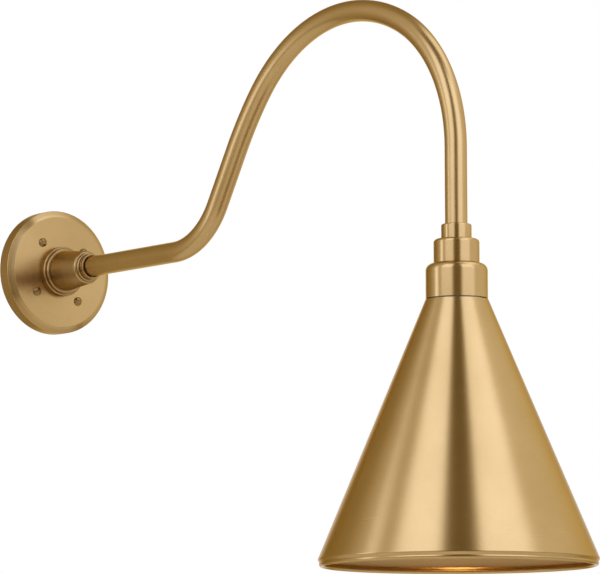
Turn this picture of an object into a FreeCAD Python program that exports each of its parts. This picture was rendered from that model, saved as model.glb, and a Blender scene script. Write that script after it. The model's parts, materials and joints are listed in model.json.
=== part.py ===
"""Gooseneck wall sconce: wall plate, hub, bent tube arm, stacked collars, cone shade and lamp.

Millimetres. +Z is up and the wall is the plane Y = 0. The sconce reaches out along -Y.
The origin is the centre of the wall plate's wall face. "Depth" is the distance out from the wall.
"""
import FreeCAD, Part
import math
import os

Vector = FreeCAD.Vector
ORIGIN = Vector(0, 0, 0)
UP = Vector(0, 0, 1)
DOWN = Vector(0, 0, -1)
OUT = Vector(0, -1, 0)
TO_WALL = Vector(0, 1, 0)
RIGHT = Vector(1, 0, 0)

# ---- wall plate: a turned brass cup, open to the wall ----
plate_diameter = 127.0
plate_side_depth = 13.4
plate_depth = 17.0
plate_face_diameter = 114.0
plate_wall = 3.0
plate_edge_rounding = 0.7

# ---- the four screws on the face of the plate ----
screw_count = 4
screw_circle_diameter = 73.0
first_screw_angle = 37.3
screw_head_diameter = 9.0
screw_head_height = 2.5
screw_head_edge = 0.8
screw_shank_diameter = 4.0
screw_length = 11.0
screw_slot_width = 1.3
screw_slot_depth = 1.3
screw_slot_angles = (62.0, 173.0, 4.0, 168.0)

# ---- mounting bracket: a steel ring that is screwed to the junction box ----
bracket_thickness = 2.5
bracket_side_clearance = 2.5
bracket_window_diameter = 60.0
box_screw_spacing = 88.9
box_slot_width = 4.8
box_slot_length = 12.0
pillar_diameter = 8.0
pillar_spigot_diameter = 6.0

# ---- ground connection ----
ground_screw_z = -42.0
hub_lug_angle = -30.0
ground_screw_across_flats = 8.0
ground_screw_head_height = 3.0
ground_slot_width = 1.2
ground_slot_depth = 1.2
lug_thickness = 0.8
lug_ring_width = 2.2
lug_neck_width = 3.6
lug_barrel_diameter = 3.6
lug_barrel_length = 4.5
ground_lead_bend = 4.0
ground_lead_drop_bend = 8.0
ground_lead_drop_angle = 45.0

# ---- hub: turned brass, with a foot, a bead, a tapered barrel and a ringed mouth ----
hub_foot_diameter = 50.8
hub_foot_height = 7.4
hub_bead_diameter = 46.8
hub_bead_height = 3.6
barrel_base_diameter = 40.8
barrel_end_diameter = 33.2
barrel_length = 38.2
shoulder_diameter = 29.8
shoulder_height = 3.1
neck_groove_diameter = 24.2
neck_groove_width = 2.4
mouth_ring_diameter = 25.8
mouth_ring_height = 2.7
mouth_diameter = 22.4
mouth_depth = 4.0
hub_seat_rounding = 0.4
hub_foot_rounding = 1.3
hub_bead_rounding = 1.6
barrel_end_rounding = 2.2
shoulder_rounding = 1.2
neck_rounding = 0.4
mouth_outer_rounding = 0.7
mouth_inner_rounding = 0.3
hub_web = 17.0

# ---- arm: one bent brass tube ----
tube_diameter = 20.6
tube_wall = 1.2
arm_reach = 649.14
rise_bend = 83.0
rise_angle = 58.5
rise_run = 59.6
crown_bend = 373.0
crown_angle = 49.0
shoulder_bend = 178.3
shoulder_angle = -28.3
drop_bend = 145.1
tube_end_height = -28.6
plug_length = 14.0

# ---- threaded nipples, lock washers and locknuts that clamp the two ends ----
nipple_diameter = 9.7
nipple_bore = 6.6
nipple_engagement = 8.0
washer_diameter = 18.0
washer_thickness = 1.0
locknut_across_flats = 14.3
locknut_thickness = 2.4
nipple_proud = 0.4

# ---- collars and cup between the arm and the shade ----
collar_upper_diameter = 28.0
collar_upper_height = 13.8
collar_upper_floor = 4.6
collar_upper_rounding = 1.4
collar_middle_diameter = 42.2
collar_middle_height = 22.6
collar_middle_rounding = 3.4
collar_middle_wall = 3.0
collar_middle_roof = 4.6
collar_edge_rounding = 0.5
cup_diameter = 57.1
cup_height = 32.4
cup_shoulder = 6.8
cup_wall = 1.2
cup_roof = 1.4

# ---- shade: a spun brass cone with a rolled rim ----
shade_gap = 0.8
shade_top_diameter = 57.8
shade_height = 237.7
shade_rim_diameter = 256.8
shade_wall = 1.0
shade_top_rounding = 1.0
shade_hem_drop = 3.1
shade_hem_inset = 1.6
shade_hem_rounding = 1.6
bead_diameter = 4.6
bead_inset = 3.4
bead_drop = 4.3
shade_hole_clearance = 1.0

# ---- lampholder: a porcelain body with a threaded sleeve, for a 26 mm screw base ----
lampholder_drop = 14.4
lampholder_base_diameter = 48.0
lampholder_base_rounding = 1.5
lampholder_sleeve_diameter = 39.0
lampholder_sleeve_length = 21.4
lampholder_web = 11.8
lampholder_shoulder_gap = 0.4
shell_inner_diameter = 26.8
shell_wall = 0.5
shell_recess = 1.0
shell_flange_inner_diameter = 12.0
shell_flange_cut = 2.0
contact_strip_width = 6.0
contact_strip_thickness = 0.6
contact_bump_diameter = 5.0
contact_bump_height = 0.5
contact_strip_overhang = 2.5

strap_thickness = 1.2
strap_width = 12.0
strap_span = 34.0
strap_foot = 8.0
strap_bend = 2.0
strap_screw_clearance = 0.2
strap_screw_head_diameter = 5.6
strap_screw_head_height = 2.0
strap_screw_diameter = 3.2
strap_screw_depth = 8.0
terminal_reach = 14.0
terminal_rivet_reach = 9.5
terminal_rivet_diameter = 2.4
terminal_clip_width = 7.0
terminal_clip_thickness = 0.8
terminal_clip_margin = 3.5
terminal_clip_inner_margin = 2.0
terminal_screw_head_diameter = 6.0
terminal_screw_head_height = 2.2
terminal_screw_diameter = 3.4
terminal_screw_depth = 6.0
terminal_slot_width = 0.9
terminal_slot_depth = 0.9

# ---- shade ring: screwed up the lampholder's sleeve to hold the shade ----
ring_diameter = 51.0
ring_height = 8.0
ring_lip_height = 2.4
ring_body_diameter = 45.0
ring_edge_rounding = 0.8
ring_flute_count = 20
ring_flute_diameter = 3.2
ring_thread_clearance = 0.3

# ---- leads ----
lead_diameter = 2.2
lead_offset = 1.35
lead_bend = 3.2
lead_tail = 11.0
connector_diameter = 9.0
connector_tip_diameter = 6.4
connector_length = 18.0
connector_skirt_depth = 6.0
connector_standoff = 9.0
connector_rounding = 1.2

# ---- lamp: 60 mm bulb on a 26 mm screw base ----
lamp_length = 108.0
lamp_diameter = 60.0
lamp_neck_diameter = 25.0
lamp_neck_curve = 60.0
lamp_glass_wall = 0.8
lamp_cap_diameter = 26.2
lamp_cap_wall = 0.4
lamp_cap_height = 20.0
lamp_cap_overlap = 6.0
lamp_cap_seat = 1.0
lamp_insulator_height = 2.8
lamp_insulator_tip_diameter = 11.0
lamp_contact_diameter = 9.0
lamp_contact_height = 0.9
lamp_contact_rounding = 0.4
stem_diameter = 7.0
stem_height = 32.0
stem_foot = 1.5
stem_rounding = 1.0
filament_wire_diameter = 0.8
filament_spread = 12.0
filament_rise = 14.0

# ---- clearances ----
running_gap = 0.3
thread_fit = 0.05
tube_fit = 0.05
screw_hole_clearance = 0.25


# ================= shared shapes =================

def closed_outline(corners):
    """Wire in the XZ plane. A corner is (radius, height), with a rounding radius as a third number."""
    points = [Vector(corner[0], 0, corner[1]) for corner in corners]
    roundings = [corner[2] if len(corner) > 2 else 0 for corner in corners]
    arrivals = []
    departures = []
    arcs = []
    for index, point in enumerate(points):
        rounding = roundings[index]
        if rounding == 0:
            arrivals.append(point)
            departures.append(point)
            arcs.append(None)
            continue
        back = (points[index - 1] - point).normalize()
        ahead = (points[(index + 1) % len(points)] - point).normalize()
        half_angle = back.getAngle(ahead) / 2
        setback = rounding / math.tan(half_angle)
        inward = (back + ahead).normalize()
        middle = point + inward * (rounding / math.sin(half_angle) - rounding)
        arrivals.append(point + back * setback)
        departures.append(point + ahead * setback)
        arcs.append(middle)
    edges = []
    for index, arrival in enumerate(arrivals):
        previous = departures[index - 1]
        if previous.distanceToPoint(arrival) > 1e-6:
            edges.append(Part.LineSegment(previous, arrival).toShape())
        if arcs[index] is not None:
            edges.append(Part.Arc(arrival, arcs[index], departures[index]).toShape())
    return Part.Wire(edges)


def turned(corners):
    """A piece turned about the Z axis from a closed outline."""
    return Part.Face(closed_outline(corners)).revolve(ORIGIN, UP, 360)


def ring(outer_diameter, inner_diameter, low, high):
    """A plain ring about the Z axis, from low to high."""
    return turned([
        (inner_diameter / 2, low),
        (outer_diameter / 2, low),
        (outer_diameter / 2, high),
        (inner_diameter / 2, high),
    ])


def disc(diameter, low, high):
    """A plain cylinder about the Z axis, from low to high."""
    return Part.makeCylinder(diameter / 2, high - low, Vector(0, 0, low))


def hexagon(across_flats, low, high):
    """A hexagonal prism about the Z axis, from low to high."""
    corner_radius = across_flats / math.sqrt(3)
    points = []
    for step in range(7):
        angle = math.radians(60 * step)
        points.append(Vector(corner_radius * math.cos(angle), corner_radius * math.sin(angle), low))
    return Part.Face(Part.makePolygon(points)).extrude(UP * (high - low))


def block(centre_x, centre_y, size_x, size_y, low, high):
    """A box centred in X and Y, from low to high."""
    corner = Vector(centre_x - size_x / 2, centre_y - size_y / 2, low)
    return Part.makeBox(size_x, size_y, high - low, corner)


def out_of_wall(shape):
    """Turns a piece made about +Z, with its height as depth, to stand out from the wall."""
    turned_shape = shape.copy()
    turned_shape.rotate(ORIGIN, RIGHT, 90)
    return turned_shape


def placed(shape, x=0, y=0, z=0):
    """A copy of a piece, moved."""
    moved = shape.copy()
    moved.translate(Vector(x, y, z))
    return moved


def turned_round(shape, angle):
    """A copy of a piece, turned about the Z axis."""
    copy = shape.copy()
    copy.rotate(ORIGIN, UP, angle)
    return copy


class Route:
    """A path of straight runs and tangent arcs."""

    def __init__(self, start, heading):
        self.start = start
        self.position = start
        self.first_heading = heading
        self.heading = heading
        self.edges = []
        self.radii = []
        self.length = 0

    def run(self, distance):
        end = self.position + self.heading * distance
        self.edges.append(Part.LineSegment(self.position, end).toShape())
        self.position = end
        self.length += distance

    def turn(self, radius, new_heading):
        angle = self.heading.getAngle(new_heading)
        side = (new_heading - self.heading * math.cos(angle)).normalize()
        centre = self.position + side * radius

        def on_arc(swept):
            along = self.heading * (radius * math.sin(swept))
            return centre + along - side * (radius * math.cos(swept))

        end = on_arc(angle)
        self.edges.append(Part.Arc(self.position, on_arc(angle / 2), end).toShape())
        self.position = end
        self.heading = new_heading
        self.radii.append(radius)
        self.length += radius * angle

    def rod(self, diameter):
        """A round solid along the path."""
        section = Part.Wire(Part.Circle(self.start, self.first_heading, diameter / 2).toShape())
        return Part.Wire(self.edges).makePipeShell([section], True, False)


def climbing(angle):
    """The direction in the arm's plane that climbs at an angle to the horizontal."""
    return Vector(0, -math.cos(math.radians(angle)), math.sin(math.radians(angle)))


# ================= places that several pieces share =================

tube_start_depth = plate_depth + hub_web
tube_inner_diameter = tube_diameter - 2 * tube_wall
plate_floor_depth = plate_depth - plate_wall
bracket_diameter = plate_diameter - 2 * (plate_wall + bracket_side_clearance)
strap_screw_inset = strap_bend + strap_screw_clearance + strap_screw_head_diameter / 2
strap_screw_reach = strap_span / 2 - strap_screw_inset
washer_face_depth = plate_floor_depth - washer_thickness
lug_face_depth = washer_face_depth - lug_thickness
locknut_face_depth = lug_face_depth - locknut_thickness
nipple_end_depth = locknut_face_depth - nipple_proud
nipple_hole = nipple_diameter + 2 * screw_hole_clearance
lead_hole = lead_diameter + 2 * thread_fit


def bend_arm(route):
    """Adds the bends of the arm, from the end of its first run to the start of its drop."""
    route.turn(rise_bend, climbing(rise_angle))
    route.run(rise_run)
    route.turn(crown_bend, climbing(crown_angle))
    route.turn(shoulder_bend, climbing(shoulder_angle))
    route.turn(drop_bend, climbing(-90))


def bends_reach():
    """How far out from the wall the bends lead, from the end of the first run to the drop."""
    route = Route(ORIGIN, OUT)
    bend_arm(route)
    return -route.position.y


first_run_end = arm_reach - bends_reach()
shade_axis_y = -arm_reach


def arm_route(start_depth, end_height, offset=0):
    """The arm's path from a depth at the wall down to a height over the shade."""
    route = Route(Vector(offset, -start_depth, 0), OUT)
    route.run(first_run_end - start_depth)
    bend_arm(route)
    route.run(route.position.z - end_height)
    return route


arm_path = arm_route(tube_start_depth, tube_end_height)

collar_upper_bottom = tube_end_height - collar_upper_floor
collar_upper_top = collar_upper_bottom + collar_upper_height
collar_middle_bottom = collar_upper_bottom - collar_middle_height
cup_bottom = collar_middle_bottom - cup_height
cup_ceiling = collar_middle_bottom - cup_roof
strap_top = cup_ceiling
socket_washer_top = strap_top - strap_thickness
socket_nut_top = socket_washer_top - washer_thickness
socket_nut_bottom = socket_nut_top - locknut_thickness
socket_nipple_bottom = socket_nut_bottom - nipple_proud

shade_top = cup_bottom - shade_gap
shade_bottom = shade_top - shade_height
shade_hole = lampholder_sleeve_diameter + 2 * shade_hole_clearance
shade_flange_bottom = shade_top - shade_wall
lampholder_top = collar_middle_bottom - lampholder_drop
lampholder_shoulder = shade_top + lampholder_shoulder_gap
sleeve_bottom = lampholder_shoulder - lampholder_sleeve_length
web_bottom = lampholder_top - lampholder_web
shell_bottom = sleeve_bottom + shell_recess
shell_outer_diameter = shell_inner_diameter + 2 * shell_wall
contact_bottom = web_bottom - contact_strip_thickness - contact_bump_height

lamp_top = contact_bottom - running_gap
lamp_insulator_top = lamp_top - lamp_contact_height
lamp_cap_top = lamp_insulator_top - lamp_insulator_height
lamp_cap_bottom = lamp_cap_top - lamp_cap_height
lamp_bottom = lamp_top - lamp_length
clip_top = lampholder_top + terminal_clip_thickness
ring_top = shade_flange_bottom - running_gap


def at_shade(shape):
    """Moves a piece made about the Z axis onto the shade's axis."""
    return placed(shape, y=shade_axis_y)


def on_screw_circle(shape_at):
    """One solid per plate screw; shape_at(index) is made about +Z with its height as depth."""
    solids = []
    for index in range(screw_count):
        angle = math.radians(first_screw_angle + 360 / screw_count * index)
        reach = screw_circle_diameter / 2
        solid = out_of_wall(shape_at(index))
        solids.append(placed(solid, x=reach * math.cos(angle), z=reach * math.sin(angle)))
    return solids


def cut_all(shape, tools):
    """Cuts each tool out of a shape."""
    for tool in tools:
        shape = shape.cut(tool)
    return shape


bracket_lug_hole = screw_shank_diameter + 2 * screw_hole_clearance
bracket_lug_depth = bracket_thickness + lug_barrel_diameter / 2
hub_lug_depth = washer_face_depth - lug_barrel_diameter / 2


def lug_barrel_end(hole_diameter):
    """The distance from a lug's centre to the open end of its barrel."""
    return hole_diameter / 2 + lug_ring_width + lug_barrel_diameter / 2 + lug_barrel_length


def ground_lead_path():
    """From the middle of the hub lug's barrel, down and back to the bracket lug's barrel."""
    leaving = Vector(math.cos(math.radians(hub_lug_angle)), 0, math.sin(math.radians(hub_lug_angle)))
    barrel_middle = lug_barrel_end(nipple_hole) - lug_barrel_length / 2
    route = Route(leaving * barrel_middle + OUT * hub_lug_depth, leaving)
    route.run(lug_barrel_length / 2)
    route.turn(ground_lead_bend, DOWN)
    angle = math.radians(ground_lead_drop_angle)
    slope = Vector(0, math.sin(angle), -math.cos(angle))
    bends_drop = 2 * ground_lead_drop_bend * (1 - math.cos(angle))
    slope_run = (hub_lug_depth - bracket_lug_depth - bends_drop) / math.sin(angle)
    sloped_height = 2 * ground_lead_drop_bend * math.sin(angle) + slope_run * math.cos(angle)
    end_z = ground_screw_z + lug_barrel_end(bracket_lug_hole) - lug_barrel_length / 2
    straight = route.position.z - end_z - sloped_height
    route.run(straight / 2)
    route.turn(ground_lead_drop_bend, slope)
    route.run(slope_run)
    route.turn(ground_lead_drop_bend, DOWN)
    route.run(straight / 2)
    return route


ground_route = ground_lead_path()
ground_screw_x = ground_route.position.x


# ================= wall end =================

def wall_plate():
    half = plate_diameter / 2
    inner_half = half - plate_wall
    face_half = plate_face_diameter / 2
    bore = nipple_hole / 2
    plate = out_of_wall(turned([
        (half, 0),
        (half, plate_side_depth, plate_edge_rounding),
        (face_half, plate_depth, plate_edge_rounding),
        (bore, plate_depth),
        (bore, plate_floor_depth),
        (face_half - plate_wall / 2, plate_floor_depth),
        (inner_half, plate_side_depth - plate_wall / 2, plate_edge_rounding),
        (inner_half, 0),
    ]))
    hole = screw_shank_diameter + 2 * screw_hole_clearance
    return cut_all(plate, on_screw_circle(lambda index: disc(hole, 0, plate_depth)))


def mounting_bracket():
    bracket = ring(bracket_diameter, bracket_window_diameter, 0, bracket_thickness)
    for side in (-1, 1):
        centre = side * box_screw_spacing / 2
        straight = box_slot_length - box_slot_width
        slot = block(centre, 0, straight, box_slot_width, 0, bracket_thickness)
        bracket = bracket.cut(slot)
        for end in (-1, 1):
            round_end = placed(disc(box_slot_width, 0, bracket_thickness), x=centre + end * straight / 2)
            bracket = bracket.cut(round_end)
    tapped = disc(screw_shank_diameter + 2 * thread_fit, 0, bracket_thickness)
    bracket = bracket.cut(placed(tapped, x=ground_screw_x, y=ground_screw_z))
    bracket = out_of_wall(bracket)
    spigot_hole = pillar_spigot_diameter + 2 * thread_fit
    return cut_all(bracket, on_screw_circle(lambda index: disc(spigot_hole, 0, bracket_thickness)))


def bracket_pillars():
    bore = screw_shank_diameter / 2 + thread_fit
    outline = [
        (bore, 0),
        (pillar_spigot_diameter / 2, 0),
        (pillar_spigot_diameter / 2, bracket_thickness),
        (pillar_diameter / 2, bracket_thickness),
        (pillar_diameter / 2, plate_floor_depth),
        (bore, plate_floor_depth),
    ]
    return Part.makeCompound(on_screw_circle(lambda index: turned(outline)))


def canopy_screws():
    def screw(index):
        crown = plate_depth + screw_head_height
        body = turned([
            (0, plate_depth - screw_length),
            (screw_shank_diameter / 2, plate_depth - screw_length),
            (screw_shank_diameter / 2, plate_depth),
            (screw_head_diameter / 2, plate_depth),
            (screw_head_diameter / 2, plate_depth + screw_head_edge, screw_head_edge / 2),
            (screw_head_diameter / 4, crown, screw_head_height),
            (0, crown),
        ])
        floor = crown - screw_slot_depth
        slot = block(0, 0, screw_head_diameter, screw_slot_width, floor, crown)
        return turned_round(body.cut(slot), screw_slot_angles[index])

    return Part.makeCompound(on_screw_circle(screw))


def ground_screw():
    head_low = bracket_thickness + lug_thickness
    head_high = head_low + ground_screw_head_height
    head = hexagon(ground_screw_across_flats, head_low, head_high)
    slot_floor = head_high - ground_slot_depth
    slot = block(0, 0, 2 * ground_screw_across_flats, ground_slot_width, slot_floor, head_high)
    screw = head.cut(slot).fuse(disc(screw_shank_diameter, 0, head_low)).removeSplitter()
    return out_of_wall(placed(screw, x=ground_screw_x, y=ground_screw_z))


def lug(hole_diameter, low, barrel_depth):
    """A crimp lug about the Z axis, with its barrel towards +X and its ring from low up."""
    half = hole_diameter / 2 + lug_ring_width
    barrel_start = half + lug_barrel_diameter / 2
    high = low + lug_thickness
    plate = disc(2 * half, low, high)
    plate = plate.fuse(block(barrel_start / 2, 0, barrel_start, lug_neck_width, low, high))
    plate = plate.cut(disc(hole_diameter, low, high))
    barrel = Part.makeCylinder(
        lug_barrel_diameter / 2, lug_barrel_length, Vector(barrel_start, 0, barrel_depth), RIGHT)
    bore = Part.makeCylinder(
        lead_hole / 2, lug_barrel_length, Vector(barrel_start, 0, barrel_depth), RIGHT)
    return plate.fuse(barrel).cut(bore).removeSplitter()


def ground_lugs():
    at_bracket = turned_round(lug(bracket_lug_hole, bracket_thickness, bracket_lug_depth), 90)
    at_bracket = placed(at_bracket, x=ground_screw_x, y=ground_screw_z)
    at_hub = turned_round(lug(nipple_hole, lug_face_depth, hub_lug_depth), hub_lug_angle)
    return Part.makeCompound([out_of_wall(at_bracket), out_of_wall(at_hub)])


def hub():
    foot_top = plate_depth + hub_foot_height
    bead_top = foot_top + hub_bead_height
    barrel_end = bead_top + barrel_length
    shoulder_top = barrel_end + shoulder_height
    ring_low = shoulder_top + neck_groove_width
    mouth = ring_low + mouth_ring_height
    bore = tube_diameter / 2 + tube_fit
    return out_of_wall(turned([
        (nipple_hole / 2, plate_depth),
        (hub_foot_diameter / 2, plate_depth, hub_seat_rounding),
        (hub_foot_diameter / 2, foot_top, hub_foot_rounding),
        (hub_bead_diameter / 2, foot_top),
        (hub_bead_diameter / 2, bead_top, hub_bead_rounding),
        (barrel_base_diameter / 2, bead_top),
        (barrel_end_diameter / 2, barrel_end, barrel_end_rounding),
        (shoulder_diameter / 2, barrel_end),
        (shoulder_diameter / 2, shoulder_top, shoulder_rounding),
        (neck_groove_diameter / 2, shoulder_top, neck_rounding),
        (neck_groove_diameter / 2, ring_low),
        (mouth_ring_diameter / 2, ring_low),
        (mouth_ring_diameter / 2, mouth, mouth_outer_rounding),
        (mouth_diameter / 2, mouth, mouth_inner_rounding),
        (mouth_diameter / 2, mouth - mouth_depth),
        (bore, mouth - mouth_depth),
        (bore, tube_start_depth),
        (nipple_hole / 2, tube_start_depth),
    ]))


def nipple(low, high):
    """A threaded tube about the Z axis, which the leads pass through."""
    return ring(nipple_diameter, nipple_bore, low, high)


def lock_washer(low):
    """A split lock washer about the Z axis."""
    washer = ring(washer_diameter, nipple_hole, low, low + washer_thickness)
    split = block(0, washer_diameter / 2, washer_thickness, washer_diameter, low, low + washer_thickness)
    return washer.cut(split)


def locknut(low):
    """A thin hexagonal locknut about the Z axis."""
    nut = hexagon(locknut_across_flats, low, low + locknut_thickness)
    return nut.cut(disc(nipple_diameter + 2 * thread_fit, low, low + locknut_thickness))


# ================= arm =================

def arm_tube():
    bore_path = arm_route(tube_start_depth, tube_end_height)
    return arm_path.rod(tube_diameter).cut(bore_path.rod(tube_inner_diameter))


def arm_plug(low, high):
    """The tapped bush that is brazed into an end of the tube."""
    return ring(tube_inner_diameter - 2 * thread_fit, nipple_diameter + 2 * thread_fit, low, high)


def supply_lead(side, tail_heading):
    """A lead from its tail in the wall plate, through the arm, to its terminal. side is -1 or +1."""
    arc_end_depth = nipple_end_depth - lead_bend
    start = Vector(side * lead_offset, -arc_end_depth, 0) + tail_heading * (lead_tail + lead_bend)
    route = Route(start, tail_heading * -1)
    route.run(lead_tail)
    route.turn(lead_bend, OUT)
    route.run(first_run_end - nipple_end_depth)
    bend_arm(route)
    level = clip_top + lead_diameter / 2
    route.run(route.position.z - level - lead_bend)
    route.turn(lead_bend, RIGHT * side)
    terminal_face = terminal_reach - terminal_screw_head_diameter / 2
    route.run(terminal_face - abs(route.position.x))
    return route


def wire_connectors():
    """Twist-on connectors that cap the tails of the two supply leads."""
    grip = turned([
        (0, connector_skirt_depth),
        (lead_hole / 2, connector_skirt_depth),
        (lead_hole / 2, 0),
        (connector_diameter / 2, 0, connector_rounding),
        (connector_tip_diameter / 2, connector_length, connector_rounding),
        (0, connector_length),
    ])
    depth = nipple_end_depth - lead_bend
    solids = []
    for side, flip in ((-1, 0), (1, 180)):
        cap = placed(grip, z=connector_standoff)
        cap.rotate(ORIGIN, RIGHT, flip)
        solids.append(placed(cap, x=side * lead_offset, y=-depth))
    return Part.makeCompound(solids)


# ================= collars and cup =================

def collar_upper():
    return at_shade(turned([
        (nipple_hole / 2, collar_upper_bottom),
        (collar_upper_diameter / 2, collar_upper_bottom),
        (collar_upper_diameter / 2, collar_upper_top, collar_upper_rounding),
        (tube_diameter / 2 + tube_fit, collar_upper_top),
        (tube_diameter / 2 + tube_fit, tube_end_height),
        (nipple_hole / 2, tube_end_height),
    ]))


def collar_middle():
    ceiling = collar_upper_bottom - collar_middle_roof
    inner = collar_middle_diameter / 2 - collar_middle_wall
    return at_shade(turned([
        (nipple_hole / 2, collar_upper_bottom),
        (collar_middle_diameter / 2, collar_upper_bottom, collar_middle_rounding),
        (collar_middle_diameter / 2, collar_middle_bottom, collar_edge_rounding),
        (inner, collar_middle_bottom),
        (inner, ceiling),
        (nipple_hole / 2, ceiling),
    ]))


def socket_cup():
    half = cup_diameter / 2
    inner = half - cup_wall
    return at_shade(turned([
        (nipple_hole / 2, collar_middle_bottom),
        (half, collar_middle_bottom, cup_shoulder),
        (half, cup_bottom),
        (inner, cup_bottom),
        (inner, cup_ceiling, cup_shoulder - cup_wall),
        (nipple_hole / 2, cup_ceiling),
    ]))


# ================= lampholder =================

def lampholder_strap():
    half = strap_span / 2
    foot = lampholder_top + strap_thickness
    outer_bend = strap_bend
    inner_bend = strap_bend - strap_thickness
    outline = closed_outline([
        (-half, strap_top, outer_bend),
        (half, strap_top, outer_bend),
        (half, lampholder_top, outer_bend),
        (half - strap_foot, lampholder_top),
        (half - strap_foot, foot),
        (half - strap_thickness, foot, inner_bend),
        (half - strap_thickness, socket_washer_top, inner_bend),
        (-half + strap_thickness, socket_washer_top, inner_bend),
        (-half + strap_thickness, foot, inner_bend),
        (-half + strap_foot, foot),
        (-half + strap_foot, lampholder_top),
        (-half, lampholder_top, outer_bend),
    ])
    strap = placed(Part.Face(outline).extrude(TO_WALL * strap_width), y=-strap_width / 2)
    strap = turned_round(strap, 90)
    strap = strap.cut(disc(nipple_hole, socket_washer_top, strap_top))
    hole = strap_screw_diameter + 2 * screw_hole_clearance
    for side in (-1, 1):
        strap = strap.cut(placed(disc(hole, lampholder_top, foot), y=side * strap_screw_reach))
    return at_shade(strap)


def small_screw(head_diameter, head_height, shank_diameter, seat, depth):
    """A slotted cheese-head screw about the Z axis, with its head above the seat."""
    head = turned([
        (0, seat - depth),
        (shank_diameter / 2, seat - depth),
        (shank_diameter / 2, seat),
        (head_diameter / 2, seat),
        (head_diameter / 2, seat + head_height, head_height / 4),
        (0, seat + head_height),
    ])
    floor = seat + head_height - terminal_slot_depth
    return head.cut(block(0, 0, head_diameter, terminal_slot_width, floor, seat + head_height))


def lampholder_screws():
    seat = lampholder_top + strap_thickness
    solids = []
    for side in (-1, 1):
        screw = small_screw(strap_screw_head_diameter, strap_screw_head_height, strap_screw_diameter,
                            seat, strap_thickness + strap_screw_depth)
        solids.append(at_shade(placed(screw, y=side * strap_screw_reach)))
    return Part.makeCompound(solids)


def lampholder_body():
    bore = shell_outer_diameter / 2 + thread_fit
    body = turned([
        (0, lampholder_top),
        (lampholder_base_diameter / 2, lampholder_top, lampholder_base_rounding),
        (lampholder_base_diameter / 2, lampholder_shoulder),
        (lampholder_sleeve_diameter / 2, lampholder_shoulder),
        (lampholder_sleeve_diameter / 2, sleeve_bottom),
        (bore, sleeve_bottom),
        (bore, web_bottom),
        (0, web_bottom),
    ])
    for side in (-1, 1):
        strap_hole = disc(strap_screw_diameter + 2 * thread_fit,
                          lampholder_top - strap_screw_depth, lampholder_top)
        screw_hole = disc(terminal_screw_diameter + 2 * thread_fit,
                          lampholder_top - terminal_screw_depth, lampholder_top)
        rivet_hole = disc(terminal_rivet_diameter + 2 * thread_fit, web_bottom, lampholder_top)
        body = body.cut(placed(strap_hole, y=side * strap_screw_reach))
        body = body.cut(placed(screw_hole, x=side * terminal_reach))
        body = body.cut(placed(rivet_hole, x=side * terminal_rivet_reach))
    return at_shade(body)


def terminal_clips():
    inner = terminal_rivet_reach - terminal_clip_inner_margin
    outer = terminal_reach + terminal_clip_margin
    solids = []
    for side in (-1, 1):
        clip = block(side * (inner + outer) / 2, 0, outer - inner, terminal_clip_width,
                     lampholder_top, clip_top)
        clip = clip.cut(placed(disc(terminal_screw_diameter + 2 * screw_hole_clearance,
                                    lampholder_top, clip_top), x=side * terminal_reach))
        clip = clip.cut(placed(disc(terminal_rivet_diameter + 2 * thread_fit,
                                    lampholder_top, clip_top), x=side * terminal_rivet_reach))
        solids.append(at_shade(clip))
    return Part.makeCompound(solids)


def terminal_screws():
    solids = []
    for side in (-1, 1):
        screw = small_screw(terminal_screw_head_diameter, terminal_screw_head_height,
                            terminal_screw_diameter, clip_top,
                            terminal_clip_thickness + terminal_screw_depth)
        solids.append(at_shade(placed(screw, x=side * terminal_reach)))
    return Part.makeCompound(solids)


def terminal_rivets():
    """Rivets that carry the current through the porcelain to the shell and the contact."""
    solids = []
    for side, thickness in ((-1, contact_strip_thickness), (1, shell_wall)):
        rivet = disc(terminal_rivet_diameter, web_bottom - thickness, clip_top)
        solids.append(at_shade(placed(rivet, x=side * terminal_rivet_reach)))
    return Part.makeCompound(solids)


def lampholder_shell():
    """The screw shell. Its flange is cut away on the side of the centre contact's strip."""
    shell = ring(shell_outer_diameter, shell_inner_diameter, shell_bottom, web_bottom)
    flange = ring(shell_outer_diameter, shell_flange_inner_diameter, web_bottom - shell_wall, web_bottom)
    cut_width = shell_inner_diameter
    flange = flange.cut(block(-cut_width / 2 - shell_flange_cut, 0, cut_width, 2 * cut_width,
                              web_bottom - shell_wall, web_bottom))
    shell = shell.fuse(flange).removeSplitter()
    rivet_hole = disc(terminal_rivet_diameter + 2 * thread_fit, web_bottom - shell_wall, web_bottom)
    return at_shade(shell.cut(placed(rivet_hole, x=terminal_rivet_reach)))


def lampholder_contact():
    low = web_bottom - contact_strip_thickness
    reach = terminal_rivet_reach + contact_strip_overhang
    strip = block(-reach / 2, 0, reach, contact_strip_width, low, web_bottom)
    strip = strip.fuse(disc(contact_strip_width, low, web_bottom))
    strip = strip.fuse(disc(contact_bump_diameter, contact_bottom, low)).removeSplitter()
    rivet_hole = disc(terminal_rivet_diameter + 2 * thread_fit, low, web_bottom)
    return at_shade(strip.cut(placed(rivet_hole, x=-terminal_rivet_reach)))


# ================= shade and its ring =================

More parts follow.
